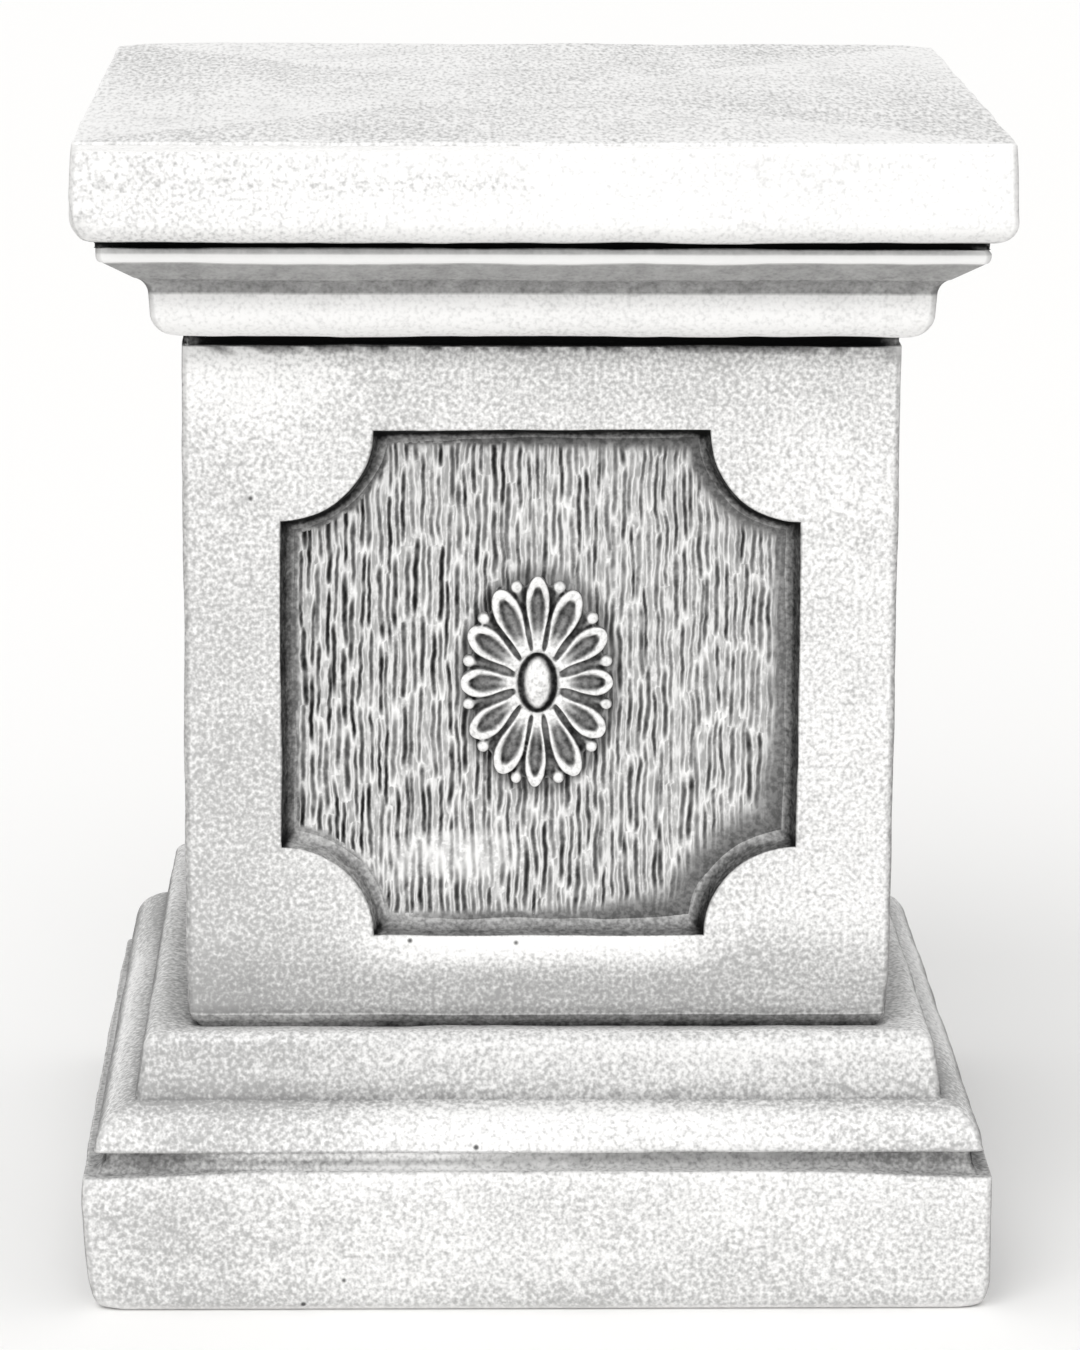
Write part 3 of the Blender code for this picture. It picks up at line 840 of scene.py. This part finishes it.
def combedGroundTree():
    kinds = {**dict.fromkeys(groundRelief, "Float"), "Columns": "Int", "Rows": "Int"}
    tree, given = newTree("combedGround", kinds)
    panelHalf, seed = given["Panel Half"], given["Seed"]
    values = {"Size X": 2.0, "Size Y": 2.0, "Vertices X": given["Columns"], "Vertices Y": given["Rows"]}
    grid = add(tree, "GeometryNodeMeshGrid", values, "Mesh")
    place = add(tree, "GeometryNodeInputPosition")
    shareX, shareY, _ = split(place)

    # Each column reaches as far as the inset outline lets it
    half = panelHalf - given["Inset"]
    radius = given["Quadrant"] + given["Inset"]
    x = shareX * half
    squares = radius ** 2.0 - (panelHalf - abs(x)) ** 2.0
    sweep = calc("SQRT", larger(squares, 0.0))
    y = shareY * smaller(half, panelHalf - sweep)
    shown = moved(grid, Position=point(x, y, 0.0))
    x, y, _ = split(place)

    # How far inside the slab's edge a point lies
    away = diagonal(panelHalf - abs(x), panelHalf - abs(y))
    inside = smaller(smaller(half - abs(x), half - abs(y)), away - radius)

    # Strokes stand in columns, each cut into lengths that start, lean and darken by chance
    seeded = point(x, y, seed)
    wide = cloud(seeded, 1.0 / given["Wander Size"], 3.0, 0.55)
    column = (x + (wide - 0.5) * (given["Wander"] * 2.0)) / given["Pitch"]
    comb, stroke = 9.0, 0.0
    for step in (-1.0, 0.0, 1.0):
        number = calc("FLOOR", column) + step
        along = timesPlus(chances(number, seed, 0.0)[0], 9.0, y / given["Stroke"])
        cell = calc("FLOOR", along)
        shift, lean, size = chances(number, cell, seed)
        tone, girth, _ = chances(cell, number, seed)
        fromMiddle = along - cell - 0.5
        centre = timesPlus(shift - 0.5, given["Shift"], 0.5)
        centre = timesPlus(fromMiddle, (lean - 0.5) * given["Lean"], centre)
        sideways = (column - number - centre) * given["Pitch"] / given["Half Width"]
        sideways = sideways * ease(girth, 0.0, 1.0, *chance.girth)
        past = abs(fromMiddle) - timesPlus(size, *chance.length)
        beyond = larger(past * given["Stroke"] / given["Tail"], 0.0) ** 2.0
        across = abs(sideways) ** 2.0
        comb = smaller(comb, calc("SQRT", timesPlus(beyond, 0.3, across)))
        marked = ease(calc("SQRT", across + beyond), 0.25, 1.5, 1.0, 0.0)
        stroke = larger(stroke, marked * ease(tone, 0.0, 1.0, *chance.tone))
    stroke = stroke * ease(x, *chance.leftToRight)
    patchy = cloud(point(x, y * 0.45, seed), 1 / chance.patchSize, 2.0)
    stroke = stroke * ease(patchy, *chance.patches)

    # Near the walls the strokes run out into painted shade, most of all in the lower right corner, and painted
    # shade rings the flower
    ragged = cloud(seeded, chance.raggedness, 2.0)
    lowerRight = ease(x - y, *edge.lowerRight)
    sideFade = given["Fade Width"] * ease(x, *edge.sideFade)
    width = timesPlus(lowerRight, given["Corner Fade"], sideFade)
    visible = inside + (ragged - 0.5) * edge.raggedEdge - given["Hidden"]
    fade = ease(visible, 0.0, width) * ease(inside, *edge.bareEdge)
    edgeShade = (1.0 - fade) * given["Edge Shade"] * ease(y, *edge.upperDirt)
    edgeShade = timesPlus(edgeShade, lowerRight * 0.25, edgeShade)
    edgeShade = edgeShade * ease((x + y) * -1.0, *edge.lowerLeft)
    oval = diagonal(x / given["Halo Width"], y / given["Halo Height"])
    flowerShade = ease(oval, *edge.haloFade) * given["Halo"]
    wornX, wornY = edge.wornReach
    wornGap = diagonal((x - given["Worn X"]) / wornX, (y - given["Worn Y"]) / wornY)
    sound = 1.0 - ease(wornGap + (ragged - 0.5), *edge.wornFade)
    stroke, comb = stroke * sound, comb * sound
    kept = {"comb": comb, "stroke": stroke, "strength": fade, "dirt": larger(edgeShade, flowerShade)}
    for name, value in kept.items():
        shown = stored(shown, name, value)
    lifted = moved(shown, Offset=point(0.0, 0.0, stroke * fade * (given["Cut"] * -1.0)))

    # A skirt and a flat back close the slab
    faces = add(tree, "GeometryNodeInputMeshEdgeNeighbors")
    rim = add(tree, "FunctionNodeCompare", {2: faces, 3: 1}, data_type="INT", operation="EQUAL")
    down = point(0.0, 0.0, given["Slab"] * -1.0)
    values = {"Mesh": lifted, "Selection": rim, "Offset": down}
    skirt = addNode(tree, "GeometryNodeExtrudeMesh", values, mode="EDGES").outputs
    loop = add(tree, "GeometryNodeMeshToCurve", {"Mesh": skirt["Mesh"], "Selection": skirt["Top"]})
    back = moved(add(tree, "GeometryNodeFillCurve", {"Curve": loop}, mode="NGONS"), Offset=down)
    both = addNode(tree, "GeometryNodeJoinGeometry")
    for geometry in (skirt["Mesh"], back):
        feed(both.inputs[0], geometry)
    return endTree(tree, both.outputs[0], given["Material"])


# The flower: template petal and bead lie along local Y, the boss is a dome in a groove
flowerShape = {
    "middle": (-0.0008, 0.2438),
    "petals": 12,
    "tipHalf": (0.0303, 0.0430),
    "rootHalf": (0.0088, 0.0130),
    "petalHalf": 0.0047,
    "petalRootHalf": 0.0020,
    "petalWidest": 0.66,
    "rimHeight": 0.0034,
    "rootHeight": 0.0028,
    "tipHeight": 0.0024,
    "hollow": 0.0022,
    "hollowReach": (0.02, 0.42, 0.78, 0.90),
    "rib": 0.00015,
    "sideWidening": 0.25,
    "beadTip": (0.0302, 0.0428),
    "beadDrift": 0.080,
    "unevenness": 1.0,
    "beadRadius": 0.0026,
    "beadHeight": 0.0032,
    "beadStem": 0.0011,
    "beadLength": 0.0120,
    "buried": 0.0012,
    "plateInset": 0.0035,
    "plateTop": 0.0007,
    "voxel": 0.00042,
    "smoothing": 3,
    "grain": 0.18,
    # Painted shade in the flower's hollows, between the petals and round the boss
    "dirt": 0.54,
    "rootDirt": 0.30,
    "dirtReach": (0.35, 0.75),
    "bossReach": 0.28,
    "bossDirt": 1.2,
    "dirtLow": 0.0012,
    "dirtHigh": 0.0028,
}
flower = SimpleNamespace(**flowerShape)


def loft(name, rings):
    # A closed skin over rings of equally many points
    count = len(rings[0])
    faces = [tuple(range(count)), tuple((len(rings) - 1) * count + i for i in range(count))]
    for r in range(len(rings) - 1):
        for i in range(count):
            j = (i + 1) % count
            faces.append((r * count + i, r * count + j, (r + 1) * count + j, (r + 1) * count + i))
    mesh = bpy.data.meshes.new(name)
    mesh.from_pydata([place for ring in rings for place in ring], [], faces)
    closeSeams(mesh, 1e-6)
    return mesh


def petalMesh():
    # One petal of unit length: raised rims, a hollow that opens outwards and closes before the tip, a low rib
    widest = flower.petalWidest
    rings = []
    for k in range(31):
        t = math.sin(math.pi / 2 * k / 30)
        past = max(0.0, (t - widest) / (1 - widest))
        if past:
            half = flower.petalHalf * math.sqrt(1 - (0.992 * past) ** 2)
            rim = flower.rimHeight + (flower.tipHeight - flower.rimHeight) * past * past
        else:
            swell = math.sin(math.pi / 2 * t / widest) ** 2.0
            half = flower.petalRootHalf + (flower.petalHalf - flower.petalRootHalf) * swell
            rim = flower.rootHeight + (flower.rimHeight - flower.rootHeight) * t / widest
        starts, opens, closes, ends = flower.hollowReach
        depth = flower.hollow * rise(t, starts, opens) * (1 - rise(t, closes, ends))
        bowlEdge = 0.86 - 0.55 * rise(t, 0.60, ends)
        ring = [(half, t, -flower.buried)]
        for i in range(25):
            across = 1 - i / 12
            edge = math.sqrt(max(0.0, 1 - max(0.0, (abs(across) - 0.72) / 0.28) ** 2))
            bowl = 1 - rise(abs(across), 0.40 * bowlEdge, bowlEdge)
            rib = flower.rib * math.sin(math.pi * t) * (1 - rise(abs(across), 0.0, 0.22))
            height = rim * (0.25 + 0.75 * edge) - depth * bowl + rib
            ring.append((across * half, t, height))
        ring.append((-half, t, -flower.buried))
        rings.append(ring)
    return loft("petal", rings)


def beadMesh():
    # A round bead at the end of a stem that rises out of the floor, the bead's far side at Y = 0
    radius = flower.beadRadius
    rings = []
    rings += [(-flower.beadLength, flower.beadStem, 0.0002), (-2.2 * radius, flower.beadStem, 0.0016)]
    for degrees in (148, 132, 112, 90, 68, 46, 26, 8):
        swell = math.sin(math.radians(degrees))
        y = radius * (math.cos(math.radians(degrees)) - 1)
        rings.append((y, radius * swell, flower.beadHeight * (0.35 + 0.65 * swell)))
    shaped = []
    for y, half, height in rings:
        ring = [(half, y, -flower.buried)]
        for i in range(13):
            angle = math.radians(180 * i / 12)
            ring.append((half * math.cos(angle), y, height * math.sin(angle) ** 0.7 if 0 < i < 12 else 0.0))
        ring.append((-half, y, -flower.buried))
        shaped.append(ring)
    return loft("bead", shaped)


bossLevels = (
    (0.0098, 0.0141, -0.0012),
    (0.0098, 0.0141, 0.0010),
    (0.0092, 0.0134, 0.0018),
    (0.0083, 0.0125, 0.0023),
    (0.0078, 0.0121, 0.0019),
    (0.0075, 0.0118, 0.0012),
    (0.0071, 0.0114, 0.0009),
    (0.0060, 0.0107, 0.0009),
    (0.0056, 0.0106, 0.0014),
    (0.0050, 0.0099, 0.0020),
    (0.0042, 0.0088, 0.0027),
    (0.0032, 0.0070, 0.0033),
    (0.0018, 0.0040, 0.0037),
    (0.0006, 0.0013, 0.0038),
)


def ovalMesh(name, levels, sides=56):
    rings = []
    for halfX, halfY, z in levels:
        turns = [math.tau * i / sides for i in range(sides)]
        rings.append([(halfX * math.sin(turn), halfY * math.cos(turn), z) for turn in turns])
    return loft(name, rings)


def flowerRingTree():
    # Sets copies of the host round an ellipse, each pointing outwards from the middle
    labels = ("First Angle", "Stretch", "Tip X", "Tip Y", "Root X", "Root Y")
    labels += ("Side Widening", "Side Drift", "Unevenness")
    kinds = {"Geometry": "Geometry", "Count": "Int", **dict.fromkeys(labels, "Float")}
    tree, given = newTree("flowerRing", kinds)
    ring = add(tree, "GeometryNodeMeshCircle", {"Vertices": given["Count"], "Radius": 1.0})
    index = add(tree, "GeometryNodeInputIndex")
    turn = index * math.tau / given["Count"] + given["First Angle"]
    turn = timesPlus(calc("SINE", turn * 2.0), given["Side Drift"], turn)
    sine, cosine = calc("SINE", turn), calc("COSINE", turn)
    tip = point(given["Tip X"] * sine, given["Tip Y"] * cosine, 0.0)
    root = point(given["Root X"] * sine, given["Root Y"] * cosine, 0.0)
    tipLength, rootLength = (turnVector("LENGTH", place, out="Value") for place in (tip, root))
    outwards = turnVector("NORMALIZE", tip)
    laid = moved(ring, Position=turnVector("SCALE", outwards, rootLength))
    outX, outY, _ = split(outwards)
    odds = [(odd - 0.5) * given["Unevenness"] for odd in chances(index, 5.0, 2.0)]
    heading = timesPlus(odds[0], 0.07, calc("ARCTAN2", outX, outY) * -1.0)
    along = timesPlus(given["Stretch"], tipLength - rootLength - 1.0, 1.0)
    along = timesPlus(odds[2], along * 0.05, along)
    wide = timesPlus(abs(sine) ** 0.4, given["Side Widening"], 1.0)
    wide = timesPlus(odds[1], 0.14, wide)
    values = {"Points": laid, "Instance": given["Geometry"]}
    values.update({"Rotation": point(0.0, 0.0, heading), "Scale": point(wide, along, 1.0)})
    return endTree(tree, add(tree, "GeometryNodeInstanceOnPoints", values), given["Material"])


def buildFlower(stone):
    # All parts melt together in a fine voxel mesh, as the mould's soft edges would leave them
    tree = flowerRingTree()
    petal, bead = addObject("petalTemplate", petalMesh()), addObject("beadTemplate", beadMesh())

    def ring(template, tip, root, firstAngle, stretch, widening, drift):
        rule = {"Count": flower.petals, "Unevenness": flower.unevenness, "Material": stone}
        rule.update({"Tip X": tip[0], "Tip Y": tip[1], "Root X": root[0], "Root Y": root[1]})
        rule.update({"First Angle": firstAngle, "Stretch": stretch})
        return runTree(template, tree, {**rule, "Side Widening": widening, "Side Drift": drift})

    plateHalf = (flower.tipHalf[0] - flower.plateInset, flower.tipHalf[1] - flower.plateInset)
    meshes = [
        ring(petal, flower.tipHalf, flower.rootHalf, 0.0, 1.0, flower.sideWidening, 0.0),
        ring(bead, flower.beadTip, flower.beadTip, math.pi / flower.petals, 0.0, 0.0, flower.beadDrift),
        ovalMesh("boss", bossLevels),
        ovalMesh("plate", ((*plateHalf, -0.0014), (*plateHalf, flower.plateTop))),
    ]
    work = bmesh.new()
    for mesh in meshes:
        work.from_mesh(mesh)
    joined = bpy.data.meshes.new("flower")
    work.to_mesh(joined)
    work.free()
    host = addObject("flowerHost", joined)
    melt = host.modifiers.new("melt", "REMESH")
    melt.mode = "VOXEL"
    melt.voxel_size = flower.voxel
    graph = bpy.context.evaluated_depsgraph_get()
    melted = bpy.data.meshes.new_from_object(host.evaluated_get(graph))
    for piece in (petal, bead, host):
        bpy.data.objects.remove(piece)
    work = bmesh.new()
    work.from_mesh(melted)
    axes = dict.fromkeys(("use_axis_x", "use_axis_y", "use_axis_z"), True)
    for _ in range(flower.smoothing):
        bmesh.ops.smooth_vert(work, verts=work.verts, factor=0.5, **axes)
    work.to_mesh(melted)
    work.free()
    # Painted shade in the flower's low parts, between petals and round the boss
    dirt = []
    for vert in melted.vertices:
        reach = math.hypot(vert.co.x / flower.tipHalf[0], vert.co.y / flower.tipHalf[1])
        share = rise(reach, *flower.dirtReach) if reach > flower.bossReach else flower.bossDirt
        held = flower.rootDirt + (flower.dirt - flower.rootDirt) * share
        dirt.append(held * (1 - rise(vert.co.z, flower.dirtLow, flower.dirtHigh)))
    mark(melted, "grain", [flower.grain] * len(dirt))
    mark(melted, "dirt", dirt)
    floor = Matrix.Translation((flower.middle[0], panel.depth - body.shaftHalf, flower.middle[1]))
    melted.transform(floor @ Matrix.Rotation(math.radians(90), 4, "X"))
    return melted


# The stone itself. Tones are linear reflectances
stoneLook = {
    "clean": 0.87,
    "grainTone": 0.42,
    "grainSize": 0.0017,
    "grainEdge": 0.30,
    "grainSpread": 0.42,
    "patchSize": 0.028,
    "patchStrength": (0.90, 0.60),
    "patchHeights": (0.130, 0.180),
    "topStretch": 0.26,
    "patchStretch": (0.30, 0.65),
    "combDarkness": 0.80,
    "combWhite": 0.84,
    "combPlateau": 0.35,
    "combPale": 0.54,
    "combStretch": 0.3,
    "mottleSize": 0.0022,
    "breakSize": 0.0030,
    "wearSize": 0.009,
    "dirtScale": 130.0,
    "proudTone": 0.90,
    "roughness": 0.92,
    "shine": 0.25,
    "pinholeTone": 0.03,
    "pinhole": 0.0012,
    "pinholes": (
        (-0.1130, -0.1402, 0.3190),
        (-0.0510, -0.1402, 0.1410),
        (-0.0090, -0.1402, 0.1400),
        (-0.0250, -0.1750, 0.0665),
        (-0.0770, -0.1794, 0.0130),
        (-0.0930, -0.1785, 0.0032),
        (0.1402, 0.0870, 0.3300),
        (0.1794, -0.0640, 0.0310),
        (0.1812, 0.1050, 0.4410),
        (-0.1402, -0.0420, 0.1320),
        (-0.1794, 0.0990, 0.0240),
        (0.0610, 0.1402, 0.3540),
        (-0.1180, 0.1794, 0.0430),
    ),
    "sandSize": 0.0011,
    "sandDepth": 0.00010,
}
look = SimpleNamespace(**stoneLook)


def grey(tone):
    return (tone, tone * 0.995, tone * 0.985, 1.0)


def attributes(tree, *names):
    return [add(tree, "ShaderNodeAttribute", out="Fac", attribute_name=name) for name in names]


def stoneMaterial(name, combed=False):
    material = bpy.data.materials.new(name)
    material.use_nodes = True
    tree = material.node_tree
    tree.nodes.clear()
    values = {"Roughness": look.roughness, "Specular IOR Level": look.shine}
    shader = addNode(tree, "ShaderNodeBsdfPrincipled", values)
    addNode(tree, "ShaderNodeOutputMaterial", {"Surface": shader.outputs[0]})
    place = add(tree, "ShaderNodeTexCoord", out="Object")
    x, y, z = split(place)
    dirt, grain, relief, top = attributes(tree, "dirt", "grain", "relief", "top")

    # Grey grain that covers a set share of the stone, in coarser specks from front to back on the top
    deep = y * timesPlus(top, look.topStretch - 1.0, 1.0)
    specks = cloud(point(x, deep, z), 1 / look.grainSize, 1.0)
    stretch = ease(z, *look.patchHeights, *look.patchStretch)
    strength = ease(z, *look.patchHeights, *look.patchStrength)
    patches = cloud(point(x * stretch, deep * stretch, z), 1 / look.patchSize, 3.0, 0.6)
    cover = timesPlus(patches - 0.5, strength, grain)
    level = timesPlus(cover - 0.5, look.grainSpread, 0.5)
    speckled = ease(level - specks, -look.grainEdge, look.grainEdge) * ease(grain, 0.0, 0.15)
    colour = mixColours(speckled, grey(look.clean), grey(look.grainTone))

    if combed:
        comb, stroke, shownShare = attributes(tree, "comb", "stroke", "strength")
        white, plateau = grey(look.combWhite), grey(look.combPlateau)
        streaks = point(x, y, z * look.combStretch)
        mottled = ease(cloud(streaks, 1 / look.mottleSize, 2.0), 0.36, 0.60, 0.25, 1.0)
        broken = ease(cloud(streaks, 1 / look.breakSize, 2.0), 0.40, 0.62, 0.0, 0.50)
        ridges = mixColours(ease(specks, 0.30, 0.60) * broken, white, plateau)
        ridges = mixColours(ease(comb, 1.3, 2.1) * mottled, ridges, plateau)
        worn = ease(cloud(place, 1 / look.wearSize, 3.0), 0.35, 0.55, 0.70, 1.0)
        # Painted shade in the combed strokes
        shade = (stroke * worn * -look.combDarkness + 1.0) ** 2.2
        plain = mixColours(ease(specks, 0.35, 0.65), plateau, grey(look.combPale))
        colour = mixColours(shownShare, plain, turnVector("SCALE", ridges, shade))

    # Painted shade and dirt darken what lies low; what stands proud is mixed towards a pale tone
    uneven = cloud(place, look.dirtScale, 4.0, 0.65) - 0.5
    low = larger(smaller(relief, 0.0), -0.8) * -0.45
    amount = (dirt + low) * timesPlus(uneven, 0.8, 1.0)
    amount = timesPlus(specks - 0.5, amount * -0.3, amount)
    left = calc("SUBTRACT", 1.0, amount, clamp=True)
    proud = ease(relief, 0.15, 0.9) * 0.6
    colour = mixColours(proud, turnVector("SCALE", colour, left ** 2.0), grey(look.proudTone))

    # Pinholes that air bubbles left, painted as dark spots that stand in for the shade inside each hole
    if not combed:
        hole = 0.0
        for spot in look.pinholes:
            gap = turnVector("DISTANCE", place, spot, "Value")
            hole = larger(hole, ease(gap, 0.4 * look.pinhole, 1.3 * look.pinhole, 1.0, 0.0))
        colour = mixColours(hole * 0.9, colour, grey(look.pinholeTone))
    feed(shader.inputs["Base Color"], colour)

    sand = cloud(place, 1 / look.sandSize, 3.0, 0.65)
    values = {"Strength": 1.0, "Distance": look.sandDepth, "Height": sand}
    feed(shader.inputs["Normal"], add(tree, "ShaderNodeBump", values))
    return material


stone = stoneMaterial("castStone")
combedStone = stoneMaterial("combedStone", combed=True)
surface = castSurfaceTree()


def finishPiece(name, mesh, material, settings):
    # Gives a piece the surface of a casting and hands it to the frame
    host = addObject(name, mesh)
    cast = runTree(host, surface, {**settings, "Material": material})
    cast.name = name
    cast.materials.clear()
    cast.materials.append(material)
    cast.polygons.foreach_set("use_smooth", [True] * len(cast.polygons))
    host.data = cast
    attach(host, "root")
    cast.calc_loop_triangles()
    print(name, "has", len(cast.loop_triangles), "triangles")
    return host


bodyMesh = buildBody()
wearBody(bodyMesh)
markZones(bodyMesh)
dressed = finishPiece("plinthBody", bodyMesh, stone, castSurface)
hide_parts("plinth")

groundTree = combedGroundTree()
for number, side in enumerate(sideNames):
    host = addObject("groundHost", bpy.data.meshes.new("groundHost"))
    density = {} if side == "front" else {"Columns": 281, "Rows": 121}
    settings = {**groundRelief, **density, "Seed": 3.7 + 11.3 * number, "Material": combedStone}
    if side == "front":
        # Painted shade round the flower on the front ground
        settings["Halo"] = 0.34
    slab = runTree(host, groundTree, settings)
    bpy.data.objects.remove(host)
    print(side, "ground has", closeSeams(slab, 3e-5), "open edges")
    turn = Matrix.Rotation(math.radians(90 * number), 4, "Z")
    sit = Matrix.Translation((0.0, panel.depth - body.shaftHalf, panel.middle))
    slab.transform(turn @ sit @ Matrix.Rotation(math.radians(90), 4, "X"))
    settings = {**castSurface, "Swell Depth": 0.0001, "Ripple Depth": 0.0001, "Relief Scale": 0.01}
    finishPiece(side + "Ground", slab, combedStone, settings)

flowerSurface = {**castSurface, "Swell Depth": 0.0001, "Ripple Depth": 0.0002, "Ripple Size": 0.005}
flowerSurface.update({"Blur Steps": 12, "Relief Scale": 0.00042})
finishPiece("rosette", buildFlower(stone), stone, flowerSurface)
print("pieces ready")


# The studio: a pale floor that runs far back, soft light from the front left and a bright sky
studioLook = {
    "floorSize": 40.0,
    "floorTone": 0.93,
    "floorRoughness": 0.95,
    "skyStrength": 0.72,
    "keyStrength": 1.75,
    "keySoftness": 1.0,
    "keyFrom": (-0.30, -1.00, 0.90),
    "cameraLens": 146.0,
    "cameraPlace": (-0.0518, -2.2334, 0.7153),
    "cameraTurn": (77.4406, -0.3076, -1.3467),
}

floorMaterial = bpy.data.materials.new("studioFloor")
floorMaterial.use_nodes = True
floorShader = floorMaterial.node_tree.nodes["Principled BSDF"].inputs
feed(floorShader["Base Color"], grey(studioLook["floorTone"]))
feed(floorShader["Roughness"], studioLook["floorRoughness"])
half = studioLook["floorSize"] / 2
floorMesh = bpy.data.meshes.new("floor")
corners = [(-half, -half, 0), (half, -half, 0), (half, half, 0), (-half, half, 0)]
floorMesh.from_pydata(corners, [], [(0, 1, 2, 3)])
floorMesh.materials.append(floorMaterial)
floor = addObject("floor", floorMesh)

key = bpy.data.lights.new("key", "SUN")
key.energy = studioLook["keyStrength"]
key.angle = studioLook["keySoftness"]
keyHolder = addObject("key", key)
keyHolder.rotation_euler = Vector(studioLook["keyFrom"]).to_track_quat("Z", "Y").to_euler()
world = bpy.data.worlds.new("sky")
world.use_nodes = True
sky = world.node_tree.nodes["Background"].inputs
feed(sky["Color"], (1.0, 1.0, 1.0, 1.0))
feed(sky["Strength"], studioLook["skyStrength"])
bpy.context.scene.world = world
bpy.context.scene.view_settings.view_transform = "Standard"

lens = bpy.data.cameras.new("camera")
lens.lens = studioLook["cameraLens"]
lens.sensor_width = 36.0
lens.clip_end = 100.0
camera = addObject("camera", lens)
camera.location = studioLook["cameraPlace"]
camera.rotation_euler = [math.radians(angle) for angle in studioLook["cameraTurn"]]
bpy.context.scene.camera = camera
print("studio ready")
